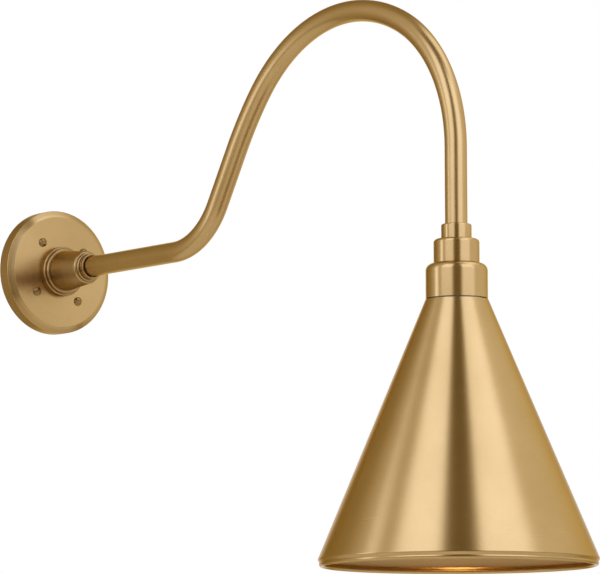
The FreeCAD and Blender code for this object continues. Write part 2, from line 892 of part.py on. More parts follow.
def shade():
    half_hole = shade_hole / 2
    rim_half = shade_rim_diameter / 2
    slope = math.atan2(rim_half - shade_top_diameter / 2, shade_height)
    wall_across = shade_wall / math.cos(slope)
    hem_bottom = shade_bottom - shade_hem_drop
    bead_centre = Vector(rim_half - bead_inset, 0, shade_bottom - bead_drop)
    shell = turned([
        (half_hole, shade_top),
        (shade_top_diameter / 2, shade_top, shade_top_rounding),
        (rim_half, shade_bottom, shade_hem_rounding),
        (rim_half - shade_hem_inset, hem_bottom),
        (rim_half - shade_hem_inset - shade_wall, hem_bottom),
        (rim_half - wall_across, shade_bottom),
        (shade_top_diameter / 2 - wall_across, shade_flange_bottom),
        (half_hole, shade_flange_bottom),
    ])
    rim = Part.Wire(Part.Circle(bead_centre, TO_WALL, bead_diameter / 2).toShape())
    bead = Part.Face(rim).revolve(ORIGIN, UP, 360)
    return at_shade(shell.fuse(bead))


def shade_ring():
    bore = lampholder_sleeve_diameter / 2 + ring_thread_clearance
    body = turned([
        (bore, ring_top),
        (ring_diameter / 2, ring_top, ring_edge_rounding),
        (ring_diameter / 2, ring_top - ring_lip_height, ring_edge_rounding),
        (ring_body_diameter / 2, ring_top - ring_lip_height),
        (ring_body_diameter / 2, ring_top - ring_height, ring_edge_rounding),
        (bore, ring_top - ring_height),
    ])
    flute = placed(disc(ring_flute_diameter, ring_top - ring_height, ring_top), x=ring_diameter / 2)
    for index in range(ring_flute_count):
        body = body.cut(turned_round(flute, 360 / ring_flute_count * index))
    return at_shade(body)


# ================= lamp =================

def bulb_outline(thickness):
    """The edges of the bulb's profile, set in from the outside by a thickness, neck first."""
    sphere = lamp_diameter / 2
    neck = lamp_neck_diameter / 2
    centre_z = lamp_bottom + sphere
    curve_x = neck + lamp_neck_curve
    rise = math.sqrt((lamp_neck_curve + sphere) ** 2 - curve_x ** 2)
    curve_centre = Vector(curve_x, 0, centre_z + rise)
    sphere_centre = Vector(0, 0, centre_z)
    across = (curve_centre - sphere_centre).normalize()
    ball = sphere - thickness
    hollow = lamp_neck_curve + thickness
    meeting = sphere_centre + across * ball
    neck_end = curve_centre - RIGHT * hollow
    bisector = ((neck_end - curve_centre).normalize() - across).normalize()
    side = (meeting - sphere_centre).normalize()
    low_side = ((side + DOWN).normalize()) * ball + sphere_centre
    pole = sphere_centre + DOWN * ball
    neck_top = Vector(neck_end.x, 0, lamp_cap_bottom + lamp_cap_overlap)
    return neck_top, [
        Part.LineSegment(neck_top, neck_end).toShape(),
        Part.Arc(neck_end, curve_centre + bisector * hollow, meeting).toShape(),
        Part.Arc(meeting, low_side, pole).toShape(),
    ], pole


def lamp_glass():
    outer_top, outer_edges, outer_pole = bulb_outline(0)
    inner_top, inner_edges, inner_pole = bulb_outline(lamp_glass_wall)
    top_edge = Part.LineSegment(inner_top, outer_top).toShape()
    pole_edge = Part.LineSegment(outer_pole, inner_pole).toShape()
    outline = Part.Wire(Part.__sortEdges__([top_edge, pole_edge] + outer_edges + inner_edges))
    return at_shade(Part.Face(outline).revolve(ORIGIN, UP, 360))


def lamp_cap():
    half = lamp_cap_diameter / 2
    inner = half - lamp_cap_wall
    seat = lamp_insulator_tip_diameter / 2 + lamp_cap_seat
    return at_shade(turned([
        (seat, lamp_cap_top),
        (half, lamp_cap_top, lamp_cap_wall),
        (half, lamp_cap_bottom),
        (inner, lamp_cap_bottom),
        (inner, lamp_cap_top - lamp_cap_wall),
        (seat, lamp_cap_top - lamp_cap_wall),
    ]))


def lamp_insulator():
    tip = lamp_insulator_tip_diameter / 2
    return at_shade(turned([
        (0, lamp_insulator_top),
        (tip, lamp_insulator_top),
        (lamp_cap_diameter / 2 - lamp_cap_seat, lamp_cap_top),
        (0, lamp_cap_top),
    ]))


def lamp_contact():
    return at_shade(turned([
        (0, lamp_insulator_top),
        (lamp_contact_diameter / 2, lamp_insulator_top),
        (lamp_contact_diameter / 2, lamp_top, lamp_contact_rounding),
        (0, lamp_top),
    ]))


def lamp_stem():
    """The glass mount inside the bulb, which closes its neck and carries the filament."""
    top = lamp_cap_bottom + lamp_cap_overlap
    foot = lamp_neck_diameter / 2 - lamp_glass_wall - thread_fit
    return at_shade(turned([
        (0, top),
        (foot, top),
        (foot, top - stem_foot),
        (stem_diameter / 2, top - stem_foot, stem_rounding),
        (stem_diameter / 2, top - stem_height, stem_rounding),
        (0, top - stem_height),
    ]))


def lamp_filament():
    """Two support wires and the filament between their tips."""
    wire = filament_wire_diameter / 2
    top = lamp_cap_bottom + lamp_cap_overlap - stem_height
    tips = []
    solids = []
    for side in (-1, 1):
        foot = Vector(side * stem_diameter / 4, 0, top)
        tip = Vector(side * filament_spread, 0, top - filament_rise)
        tips.append(tip)
        lean = tip - foot
        solids.append(Part.makeCylinder(wire, lean.Length, foot, lean))
    span = tips[1] - tips[0]
    filament = solids[0].fuse([solids[1], Part.makeCylinder(wire, span.Length, tips[0], span)])
    for tip in tips:
        filament = filament.fuse(Part.makeSphere(wire, tip))
    top_cut = block(0, 0, stem_diameter, stem_diameter, top, top + stem_diameter)
    return at_shade(filament.cut(top_cut))


# ================= the assembly =================

hot_route = supply_lead(-1, UP)
neutral_route = supply_lead(1, DOWN)

nodes = {
    "wall_plate": wall_plate(),
    "mounting_bracket": mounting_bracket(),
    "bracket_pillars": bracket_pillars(),
    "canopy_screws": canopy_screws(),
    "ground_screw": ground_screw(),
    "ground_lugs": ground_lugs(),
    "ground_lead": ground_route.rod(lead_diameter),
    "hub": hub(),
    "hub_nipple": out_of_wall(nipple(nipple_end_depth, tube_start_depth + nipple_engagement)),
    "hub_washer": out_of_wall(lock_washer(washer_face_depth)),
    "hub_locknut": out_of_wall(locknut(locknut_face_depth)),
    "arm_tube": arm_tube(),
    "arm_plug_wall_end": out_of_wall(arm_plug(tube_start_depth, tube_start_depth + plug_length)),
    "arm_plug_shade_end": at_shade(arm_plug(tube_end_height, tube_end_height + plug_length)),
    "lead_hot": hot_route.rod(lead_diameter),
    "lead_neutral": neutral_route.rod(lead_diameter),
    "wire_connectors": wire_connectors(),
    "collar_upper": collar_upper(),
    "collar_middle": collar_middle(),
    "socket_cup": socket_cup(),
    "socket_nipple": at_shade(nipple(socket_nipple_bottom, tube_end_height + nipple_engagement)),
    "socket_washer": at_shade(lock_washer(socket_nut_top)),
    "socket_locknut": at_shade(locknut(socket_nut_bottom)),
    "lampholder_strap": lampholder_strap(),
    "lampholder_screws": lampholder_screws(),
    "lampholder_body": lampholder_body(),
    "lampholder_shell": lampholder_shell(),
    "lampholder_contact": lampholder_contact(),
    "terminal_clips": terminal_clips(),
    "terminal_screws": terminal_screws(),
    "terminal_rivets": terminal_rivets(),
    "shade": shade(),
    "shade_ring": shade_ring(),
    "lamp_contact": lamp_contact(),
    "lamp_cap": lamp_cap(),
    "lamp_insulator": lamp_insulator(),
    "lamp_glass": lamp_glass(),
    "lamp_stem": lamp_stem(),
    "lamp_filament": lamp_filament(),
}

os.makedirs("parts", exist_ok=True)
for name, shape in nodes.items():
    shape.exportStep("parts/" + name + ".step")
    print(name, "solids", len(shape.Solids), "valid", shape.isValid(), "volume", round(shape.Volume, 1))

for name, route in (("lead_hot", hot_route), ("lead_neutral", neutral_route), ("ground_lead", ground_route)):
    print(name, "length", round(route.length, 1), "bend radii", sorted(set(route.radii)))
print("arm length", round(arm_path.length, 1), "first run ends at depth", round(first_run_end, 2))
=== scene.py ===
"""Gooseneck wall sconce: the finished look of the brass wall light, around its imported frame.

The frame is in metres: X right, -Y out of the wall, +Z up, with the wall at Y = 0. Sizes of the
pieces are written in millimetres, as on a workshop drawing, and scaled by MM.
"""
import bmesh
import bpy
import json
import math
from mathutils import Matrix, Vector


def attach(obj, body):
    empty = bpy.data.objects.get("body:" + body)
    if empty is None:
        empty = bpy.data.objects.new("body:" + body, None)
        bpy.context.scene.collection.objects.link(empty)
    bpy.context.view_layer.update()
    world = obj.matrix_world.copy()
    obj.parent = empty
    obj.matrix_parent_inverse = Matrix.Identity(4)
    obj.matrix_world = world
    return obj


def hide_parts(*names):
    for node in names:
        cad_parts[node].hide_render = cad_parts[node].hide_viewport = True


MM = 0.001
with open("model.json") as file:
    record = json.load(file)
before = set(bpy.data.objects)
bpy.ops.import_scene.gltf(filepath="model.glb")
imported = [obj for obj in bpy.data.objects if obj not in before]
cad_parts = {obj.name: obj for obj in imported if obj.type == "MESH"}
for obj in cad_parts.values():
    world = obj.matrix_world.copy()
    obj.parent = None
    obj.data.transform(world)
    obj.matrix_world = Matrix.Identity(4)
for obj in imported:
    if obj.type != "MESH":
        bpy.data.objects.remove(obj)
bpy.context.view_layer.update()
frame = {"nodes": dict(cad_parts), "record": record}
cad = frame["nodes"]


# ================= sizes, in millimetres =================

plate_diameter = 127.0
plate_side_depth = 13.4
plate_depth = 17.0
plate_face_diameter = 114.0
plate_wall = 3.0
plate_edge_rounding = 0.7
plate_floor_depth = plate_depth - plate_wall
drill_from, drill_to, drill_clearance = 5, 25, 0.25

screw_circle_diameter = 73.0
first_screw_angle = 37.3
screw_head_diameter = 9.0
screw_head_height = 2.5
screw_head_edge = 0.8
screw_shank_diameter = 4.0
screw_length = 11.0
screw_slot_width = 1.3
screw_slot_depth = 1.3
saw_height = 4
screw_slot_angles = (62.0, 173.0, 4.0, 168.0)

foot_top = plate_depth + 7.4
bead_top = foot_top + 3.6
barrel_end = bead_top + 38.2
shoulder_top = barrel_end + 3.1
mouth_ring_low = shoulder_top + 2.4
hub_mouth = mouth_ring_low + 2.7
hub_mouth_depth = 4.0
nipple_hole = 10.2
foot_radius, foot_base_rounding, foot_rounding = 25.4, 0.4, 1.3
hub_bead_radius, hub_bead_rounding = 23.4, 1.6
barrel_start_radius, barrel_end_radius, barrel_rounding = 20.4, 16.6, 2.2
shoulder_radius, shoulder_rounding = 14.9, 1.2
mouth_neck_radius, mouth_neck_rounding = 12.1, 0.4
mouth_ring_radius, mouth_ring_rounding = 12.9, 0.7
mouth_bore_radius, mouth_bore_rounding = 11.2, 0.3

tube_diameter = 20.6
tube_wall = 1.2
tube_start = 34.0
tube_end = -28.6
arm_reach = 649.14
arm_bends = ((83.0, 58.5, 59.6), (373.0, 49.0, 0.0), (178.3, -28.3, 0.0), (145.1, -90.0, None))
tube_seat = tube_diameter / 2 + 0.05
bend_ease = 0.9998  # leaves a hair of straight tube between two bends that meet

upper_collar_low, upper_collar_top, upper_collar_radius = -33.2, -19.4, 14.0
upper_collar_rounding = 1.4
middle_collar_low, middle_collar_radius = -55.8, 21.1
middle_collar_rounding, middle_collar_edge = 3.4, 0.5
middle_collar_wall, middle_collar_roof = 3.0, 4.6
cup_low, cup_radius, cup_wall, cup_roof, cup_shoulder = -88.2, 28.55, 1.2, 1.4, 6.8

shade_top = -89.0
shade_bottom = shade_top - 237.7
shade_top_radius = 28.9
shade_rim_radius = 128.4
shade_wall = 1.0
shade_top_rounding = 1.0
shade_hole_radius = 20.5
hem_drop, hem_inset, hem_rounding = 3.1, 1.6, 1.6
bead_radius, bead_inset, bead_drop = 2.3, 3.4, 4.3

holder_top, holder_shoulder, holder_web, sleeve_low = -70.2, -88.6, -82.0, -110.0
holder_radius, sleeve_radius, shell_bore, holder_rounding = 24.0, 19.5, 13.95, 1.5
holder_thread_pitch, holder_thread_depth, holder_thread_outside = 2.5, 0.7, 19.0

ring_top = -90.3
ring_height, ring_lip, ring_edge = 8.0, 2.4, 0.8
ring_radius, ring_body_radius, ring_bore = 25.5, 22.5, 19.8

lamp_cap_top, lamp_cap_low, lamp_cap_radius, lamp_cap_wall = -87.1, -107.1, 13.1, 0.4
lamp_cap_hole, lamp_cap_bevel, lamp_cap_skirt = 6.5, 1.5, 2.5
lamp_thread_pitch, lamp_thread_depth, lamp_thread_outside = 3.629, 0.9, 12.9
bulb_neck_in_cap = 6.0
lamp_bottom, bulb_radius, bulb_neck_radius, bulb_curve, bulb_wall = -191.4, 30.0, 12.5, 60.0, 0.8


# ================= building by lathe, saw and sweep =================

def rounded(corners, step=10):
    """A closed outline of (radius, height), with each corner's third number as its rounding."""
    outline = []
    for index, corner in enumerate(corners):
        point = Vector(corner[:2])
        rounding = corner[2] if len(corner) > 2 else 0
        if not rounding:
            outline.append(point)
            continue
        back = (Vector(corners[index - 1][:2]) - point).normalized()
        ahead = (Vector(corners[(index + 1) % len(corners)][:2]) - point).normalized()
        half = back.angle(ahead) / 2
        centre = point + (back + ahead).normalized() * (rounding / math.sin(half))
        first = point + back * (rounding / math.tan(half)) - centre
        sweep = first.angle_signed(point + ahead * (rounding / math.tan(half)) - centre)
        count = max(2, math.ceil(abs(math.degrees(sweep)) / step))
        for part in range(count + 1):
            outline.append(centre + Matrix.Rotation(-sweep * part / count, 2) @ first)
    return outline


def at_wall(x, y, height):
    """Turned about the hub's axis: height is the depth out from the wall."""
    return Vector((x, -height, y)) * MM


def at_shade(x, y, height):
    """Turned about the shade's axis."""
    return Vector((x, y - arm_reach, height)) * MM


def as_object(name, mesh):
    piece = bpy.data.objects.new(name, mesh)
    bpy.context.scene.collection.objects.link(piece)
    return piece


def thread_cut(thread, radius, height, turn):
    """How deep a thread cuts into a turned piece at one point, with a shallow start and end."""
    low, high, pitch, depth, outside = thread
    if not low < height < high or radius <= outside:
        return 0
    lead = min(height - low, high - height) / pitch
    wave = 0.5 - 0.5 * math.cos(math.tau * (height / pitch - turn))
    return depth * wave * min(1, lead * 1.5)


def lathe(name, outline, place, sides=128, thread=None):
    """Turns an outline into a closed mesh.

    A thread is (low, high, pitch, depth, outside), cut into what lies outside that last radius.
    """
    shape = bmesh.new()
    rings = []
    for radius, height in outline:
        if radius < 1e-6:
            rings.append([shape.verts.new(place(0, 0, height))])
            continue
        row = []
        for side in range(sides):
            turn = side / sides
            cut = thread_cut(thread, radius, height, turn) if thread else 0
            x, y = math.cos(math.tau * turn), math.sin(math.tau * turn)
            row.append(shape.verts.new(place(x * (radius - cut), y * (radius - cut), height)))
        rings.append(row)
    for low, high in zip(rings, rings[1:] + rings[:1]):
        for side in range(sides):
            after = (side + 1) % sides
            if len(low) == 1 and len(high) == 1:
                break
            if len(low) == 1:
                shape.faces.new((low[0], high[after], high[side]))
            elif len(high) == 1:
                shape.faces.new((low[side], low[after], high[0]))
            else:
                shape.faces.new((low[side], low[after], high[after], high[side]))
    bmesh.ops.recalc_face_normals(shape, faces=shape.faces)
    mesh = bpy.data.meshes.new(name)
    shape.to_mesh(mesh)
    shape.free()
    return as_object(name, mesh)


def threaded(low_corner, high_corner, rows):
    """Points between two corners of an outline, close enough together for a thread."""
    low, high = Vector(low_corner), Vector(high_corner)
    return [low.lerp(high, row / rows) for row in range(rows + 1)]


def drill(piece, cutters):
    """Cuts cutter objects out of a piece and removes them."""
    for cutter in cutters:
        cut = piece.modifiers.new("cut", "BOOLEAN")
        cut.operation = "DIFFERENCE"
        cut.solver = "EXACT"
        cut.object = cutter
    apply_modifiers(piece)
    for cutter in cutters:
        bpy.data.objects.remove(cutter)


def apply_modifiers(piece):
    """Turns what the modifiers make into the piece's own plain mesh."""
    evaluated = piece.evaluated_get(bpy.context.evaluated_depsgraph_get())
    mesh = bpy.data.meshes.new_from_object(evaluated)
    mesh.name = piece.name
    piece.modifiers.clear()
    piece.data = mesh


def polish(piece, sharp=24):
    """Smooth shading that stays crisp at edges and flat on wide faces."""
    for face in piece.data.polygons:
        face.use_smooth = True
    piece.data.set_sharp_from_angle(angle=math.radians(sharp))
    even = piece.modifiers.new("even", "WEIGHTED_NORMAL")
    even.keep_sharp = True
    apply_modifiers(piece)
    return piece


def finish_piece(piece, material, body, slot, *replaced):
    """Gives a piece its material and its place in the frame."""
    piece.data.materials.clear()
    piece.data.materials.append(material)
    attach(piece, body)
    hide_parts(*replaced)


# ================= node helpers =================

def add(tree, kind, inputs=None, **settings):
    """Adds a node. Inputs are given by name or number, as a value or as another node's output."""
    made = tree.nodes.new(kind)
    for key, value in settings.items():
        setattr(made, key, value)
    for key, value in (inputs or {}).items():
        if isinstance(value, bpy.types.NodeSocket):
            tree.links.new(value, made.inputs[key])
        else:
            made.inputs[key].default_value = value
    return made


def sums(tree, operation, *values):
    """A maths node's output."""
    return add(tree, "ShaderNodeMath", dict(enumerate(values)), operation=operation).outputs[0]


def remap(tree, value, from_low, from_high, to_low, to_high, smooth=False):
    ends = {"Value": value, "From Min": from_low, "From Max": from_high,
            "To Min": to_low, "To Max": to_high}
    kind = "SMOOTHSTEP" if smooth else "LINEAR"
    return add(tree, "ShaderNodeMapRange", ends, interpolation_type=kind).outputs["Result"]


def blend_colour(tree, factor, first, second, mode="MIX"):
    mix = add(tree, "ShaderNodeMix", data_type="RGBA", blend_type=mode)
    for key, value in ((0, factor), (6, first), (7, second)):
        if isinstance(value, bpy.types.NodeSocket):
            tree.links.new(value, mix.inputs[key])
        else:
            mix.inputs[key].default_value = value if key == 0 else (*value, 1)
    return mix.outputs[2]


def noise(tree, coordinates, scale, detail=3.0, rough=0.55):
    wanted = {"Vector": coordinates, "Scale": scale, "Detail": detail, "Roughness": rough}
    return add(tree, "ShaderNodeTexNoise", wanted).outputs["Fac"]


def new_material(name):
    material = bpy.data.materials.new(name)
    material.use_nodes = True
    tree = material.node_tree
    return material, tree, tree.nodes["Principled BSDF"]


def connect(tree, shader, **inputs):
    names = {"base": "Base Color", "roughness": "Roughness", "normal": "Normal",
             "metallic": "Metallic", "tangent": "Tangent"}
    for key, value in inputs.items():
        tree.links.new(value, shader.inputs[names[key]])


def bump(tree, height, strength, distance):
    wanted = {"Strength": strength, "Distance": distance, "Height": height}
    return add(tree, "ShaderNodeBump", wanted).outputs["Normal"]


# ================= brass =================

BRASS = (0.500, 0.328, 0.134)
BRASS_DEEP = (0.330, 0.195, 0.060)
# Painted shade colour: it darkens the screws and the hub.
BRASS_PAINTED_SHADE = (0.200, 0.112, 0.034)
BRASS_PALE = (0.540, 0.365, 0.160)
SHEEN_TINT = (0.66, 0.52, 0.33, 1.0)
PATINA_SPREAD = 0.26
TURNED_GRAIN, DRAWN_GRAIN = 1.6, 4.0
INSIDE_DULLNESS = 0.24
INSIDE_METAL = 0.40


def turning_grain(tree, centre, wall_axis):
    """Coordinates that run round a turned piece: slow along the lathe marks, quick across them."""
    place = add(tree, "ShaderNodeTexCoord").outputs["Object"]
    shift = add(tree, "ShaderNodeMapping", {"Vector": place, "Location": centre})
    x, y, z = add(tree, "ShaderNodeSeparateXYZ", {0: shift.outputs[0]}).outputs
    if wall_axis:
        y, z = z, y
    flat = add(tree, "ShaderNodeCombineXYZ", {0: x, 1: y, 2: 0.0}).outputs[0]
    radius = add(tree, "ShaderNodeVectorMath", {0: flat}, operation="LENGTH").outputs["Value"]
    round_it = add(tree, "ShaderNodeVectorMath", {0: flat}, operation="NORMALIZE").outputs[0]
    ax, ay, _ = add(tree, "ShaderNodeSeparateXYZ", {0: round_it}).outputs
    across = sums(tree, "MULTIPLY", sums(tree, "ADD", radius, z), 1000.0)
    grain = add(tree, "ShaderNodeCombineXYZ", {0: ax, 1: ay, 2: across}).outputs[0]
    return place, grain


def brass_finish(tree, shader, place, grain, grain_scale, roughness, relief=0.02,
                 deep=PATINA_SPREAD, deep_colour=BRASS_DEEP, edge=None):
    """Aged, lacquered brass: cloudy aged tone, fine brushed lines and a slightly uneven gloss.

    An edge is (from, to, amount): along Y, where a band of painted shade begins and where it is
    full. A high deep darkens the whole piece with painted shade.
    """
    cloud = noise(tree, place, 16.0, 4.0, 0.6)
    lines = noise(tree, grain, grain_scale, 4.0, 0.7)
    speck = noise(tree, place, 420.0, 2.0)
    # Random cloudy aged tone; with a high deep (hub, screws) it becomes painted shade over the
    # whole piece.
    patina_and_painted_shade = remap(tree, cloud, 0.35, 0.72, deep - PATINA_SPREAD, deep)
    # The edge band is painted shade on the plate's bevel and side.
    if edge:
        y = add(tree, "ShaderNodeSeparateXYZ", {0: place}).outputs[1]
        patina_and_painted_shade = sums(tree, "MAXIMUM", patina_and_painted_shade, remap(tree, y, edge[0], edge[1], 0.0, edge[2]))
    tone = blend_colour(tree, patina_and_painted_shade, BRASS, deep_colour)
    tone = blend_colour(tree, remap(tree, lines, 0.35, 0.75, 0.0, 0.20), tone, BRASS_PALE)
    tone = blend_colour(tree, remap(tree, speck, 0.62, 0.80, 0.0, 0.25), tone, BRASS_DEEP)
    shine = remap(tree, lines, 0.3, 0.7, roughness - 0.01, roughness + 0.014)
    shader.inputs["Metallic"].default_value = 1.0
    shader.inputs["Specular Tint"].default_value = SHEEN_TINT
    shader.inputs["Coat Weight"].default_value = 0.04
    shader.inputs["Coat Roughness"].default_value = 0.22
    connect(tree, shader, base=tone, roughness=shine,
            normal=bump(tree, lines, relief, 0.00004))


def turned_brass(name, centre, wall_axis, roughness=0.26, anisotropy=0.75, **patina_and_painted_shade):
    material, tree, shader = new_material(name)
    place, grain = turning_grain(tree, centre, wall_axis)
    brass_finish(tree, shader, place, grain, TURNED_GRAIN, roughness, **patina_and_painted_shade)
    shader.inputs["Anisotropic"].default_value = anisotropy
    shader.inputs["Anisotropic Rotation"].default_value = 0.25
    way = add(tree, "ShaderNodeTangent", direction_type="RADIAL", axis="Y" if wall_axis else "Z")
    connect(tree, shader, tangent=way.outputs[0])
    return material


def dull_inside(material):
    """Makes the inside of the cone duller and less metallic than the outside."""
    tree = material.node_tree
    shader = tree.nodes["Principled BSDF"]
    place = add(tree, "ShaderNodeTexCoord").outputs["Object"]
    x, y, z = add(tree, "ShaderNodeSeparateXYZ", {0: place}).outputs
    out = sums(tree, "ADD", y, arm_reach * MM)
    radius = sums(tree, "SQRT", sums(tree, "MULTIPLY_ADD", x, x, sums(tree, "MULTIPLY", out, out)))
    skin = remap(tree, z, shade_top * MM, shade_bottom * MM, shade_top_radius * MM,
                 shade_rim_radius * MM)
    depth = remap(tree, sums(tree, "SUBTRACT", skin, radius), 0.3 * MM, 0.7 * MM, 0.0, 1.0, True)
    above = remap(tree, z, (shade_bottom - 0.3) * MM, shade_bottom * MM, 0.0, 1.0, True)
    inside = sums(tree, "MULTIPLY", depth, above)
    polished = shader.inputs["Roughness"].links[0].from_socket
    dull = sums(tree, "MULTIPLY_ADD", inside, INSIDE_DULLNESS, polished)
    tree.links.new(dull, shader.inputs["Roughness"])
    tree.links.new(remap(tree, inside, 0.0, 1.0, 1.0, INSIDE_METAL), shader.inputs["Metallic"])
    return material


def drawn_brass(name):
    """Brass tube, brushed along its length. It reads the sweep's own attributes."""
    material, tree, shader = new_material(name)
    place = add(tree, "ShaderNodeTexCoord").outputs["Object"]
    grain = add(tree, "ShaderNodeAttribute", attribute_name="grain").outputs["Vector"]
    brass_finish(tree, shader, place, grain, DRAWN_GRAIN, 0.28)
    shader.inputs["Anisotropic"].default_value = 0.1
    way = add(tree, "ShaderNodeTangent", direction_type="UV_MAP", uv_map="UVMap")
    connect(tree, shader, tangent=way.outputs[0])
    return material


on_hub_axis = (0, 0, 0)
on_shade_axis = (0, arm_reach * MM, 0)
# The plate's bevel and side are painted darker towards the wall: painted shade for the dark
# reflections on the bevel.
plate_side_painted_shade = ((-plate_depth + 0.4) * MM, (-plate_depth + 2.0) * MM, 0.50)
plate_brass = turned_brass("wall_plate_brass", on_hub_axis, True, edge=plate_side_painted_shade)
# Screws and hub are painted much darker all over: painted shade on top of their cloudy aged tone.
screw_brass_painted_shade = turned_brass("screw_brass_painted_shade", on_hub_axis, True, deep=0.95, deep_colour=BRASS_PAINTED_SHADE)
hub_brass_painted_shade = turned_brass("hub_brass_painted_shade", on_hub_axis, True, deep=0.70, deep_colour=BRASS_PAINTED_SHADE)
shade_brass = turned_brass("shade_brass", on_shade_axis, False)
cone_brass = dull_inside(turned_brass("cone_brass", on_shade_axis, False))
arm_brass = drawn_brass("arm_brass")


# ================= other finishes =================

def plain_finish(name, colour, roughness, metallic=0.0, variation=0.12, scale=300.0, relief=0.00002,
                 stretch=(1, 1, 1), **extras):
    """A finish of one colour that mottles slightly, with its own texture and gloss."""
    material, tree, shader = new_material(name)
    place = add(tree, "ShaderNodeTexCoord").outputs["Object"]
    place = add(tree, "ShaderNodeMapping", {"Vector": place, "Scale": stretch}).outputs[0]
    fine = noise(tree, place, scale, 4.0)
    broad = noise(tree, place, scale * 0.12, 2.0)
    darker = tuple(channel * (1 - 2.5 * variation) for channel in colour)
    tone = blend_colour(tree, remap(tree, broad, 0.3, 0.7, 0.0, 0.6), colour, darker)
    tone = blend_colour(tree, remap(tree, fine, 0.5, 0.8, 0.0, 0.5), tone, darker)
    shine = remap(tree, fine, 0.3, 0.7, roughness * 0.85, min(1.0, roughness * 1.2))
    shader.inputs["Metallic"].default_value = metallic
    for key, value in extras.items():
        shader.inputs[key.replace("_", " ")].default_value = value
    connect(tree, shader, base=tone, roughness=shine, normal=bump(tree, fine, 0.3, relief))
    return material


finishes = {
    "plain_brass": plain_finish("bright_brass", (0.72, 0.50, 0.20), 0.28, 1.0),
    "zinc_steel": plain_finish("zinc_plate", (0.56, 0.57, 0.60), 0.36, 1.0, 0.10, 700.0),
    "green_steel": plain_finish("green_zinc", (0.03, 0.25, 0.08), 0.35, 0.9, 0.14, 500.0),
    "tinned_copper": plain_finish("tin_plate", (0.66, 0.64, 0.60), 0.40, 1.0),
    "green_insulation": plain_finish("green_sleeve", (0.03, 0.24, 0.06), 0.55, 0.0, 0.14, 900.0,
                                     0.0001),
    "black_insulation": plain_finish("black_sleeve", (0.020, 0.020, 0.022), 0.50, 0.0, 0.10),
    "white_insulation": plain_finish("white_sleeve", (0.76, 0.74, 0.68), 0.50, 0.0, 0.05),
    "orange_plastic": plain_finish("orange_connector", (0.80, 0.24, 0.03), 0.42, 0.0, 0.08),
    "glazed_porcelain": plain_finish("porcelain_glaze", (0.80, 0.77, 0.69), 0.14, 0.0, 0.03, 160.0,
                                     0.00008, Coat_Weight=0.6, Coat_Roughness=0.06),
    "black_phenolic": plain_finish("black_phenolic", (0.022, 0.019, 0.017), 0.34, 0.0, 0.12, 500.0),
    "nickel_plate": plain_finish("nickel_plate", (0.66, 0.64, 0.58), 0.24, 1.0, 0.06),
    "black_glass": plain_finish("black_glass", (0.012, 0.012, 0.014), 0.08, 0.0, 0.10, 90.0),
    "clear_glass": plain_finish("stem_glass", (0.92, 0.95, 0.95), 0.04, 0.0, 0.02, 60.0,
                                Transmission_Weight=0.9),
    "filament": plain_finish("filament_wire", (0.80, 0.62, 0.36), 0.35, 1.0, 0.05),
}
slot_of = {part["node"]: part["material_slot"] for part in frame["record"]["subparts"]}
for node_name, node in cad.items():
    finish = finishes.get(slot_of[node_name], shade_brass)
    for place in node.material_slots:
        place.material = finish


GLOW_EDGE, GLOW_MIDDLE = (0.95, 0.46, 0.14), (1.0, 0.72, 0.40)
GLOW_STRENGTH = 2.8
glow_edge_height, glow_middle_height = -0.120, -0.165


def lit_glass():
    """The frosted bulb, lit from within: brightest round the filament."""
    material, tree, shader = new_material("frosted_bulb")
    place = add(tree, "ShaderNodeTexCoord").outputs["Object"]
    _, _, height = add(tree, "ShaderNodeSeparateXYZ", {0: place}).outputs
    frost = noise(tree, place, 900.0, 3.0)
    bright = remap(tree, height, glow_edge_height, glow_middle_height, 0.25, 1.0, True)
    bright = sums(tree, "MULTIPLY", bright, remap(tree, frost, 0.3, 0.7, 0.92, 1.08))
    warm = blend_colour(tree, bright, GLOW_EDGE, GLOW_MIDDLE)
    tree.links.new(warm, shader.inputs["Emission Color"])
    glow = sums(tree, "MULTIPLY", bright, GLOW_STRENGTH)
    tree.links.new(glow, shader.inputs["Emission Strength"])
    tone = blend_colour(tree, frost, (0.95, 0.90, 0.80), (0.86, 0.80, 0.68))
    shader.inputs["Transmission Weight"].default_value = 0.35
    connect(tree, shader, base=tone, roughness=remap(tree, frost, 0.3, 0.7, 0.30, 0.46),
            normal=bump(tree, frost, 0.3, 0.00003))
    return material


# ================= Geometry Nodes: parts that repeat or follow a path =================

def node_group(name, sizes):
    """Starts a Geometry Nodes tree with named inputs; sizes are (name, kind, value)."""
    tree = bpy.data.node_groups.new(name, "GeometryNodeTree")
    tree.interface.new_socket("Geometry", in_out="INPUT", socket_type="NodeSocketGeometry")
    kinds = {"size": "NodeSocketFloat", "count": "NodeSocketInt", "finish": "NodeSocketMaterial"}
    wanted = {}
    for label, kind, value in (*sizes, ("Finish", "finish", None)):
        socket = tree.interface.new_socket(label, in_out="INPUT", socket_type=kinds[kind])
        wanted[socket.identifier] = value
    tree.interface.new_socket("Geometry", in_out="OUTPUT", socket_type="NodeSocketGeometry")
    given = tree.nodes.new("NodeGroupInput").outputs
    return tree, given, wanted


def close_group(tree, given, geometry):
    """Ends a tree in real geometry that wears its Finish."""
    real = add(tree, "GeometryNodeRealizeInstances", {0: geometry}).outputs[0]
    dressed = add(tree, "GeometryNodeSetMaterial", {"Geometry": real, "Material": given["Finish"]})
    end = tree.nodes.new("NodeGroupOutput")
    tree.links.new(dressed.outputs[0], end.inputs[0])


def grow(piece, tree, wanted, material):
    """Runs a tree on a piece once and keeps the plain mesh."""
    modifier = piece.modifiers.new(tree.name, "NODES")
    modifier.node_group = tree
    identifiers = list(wanted)
    for identifier in identifiers[:-1]:
        modifier[identifier] = wanted[identifier]
    modifier[identifiers[-1]] = material
    apply_modifiers(piece)
    return piece


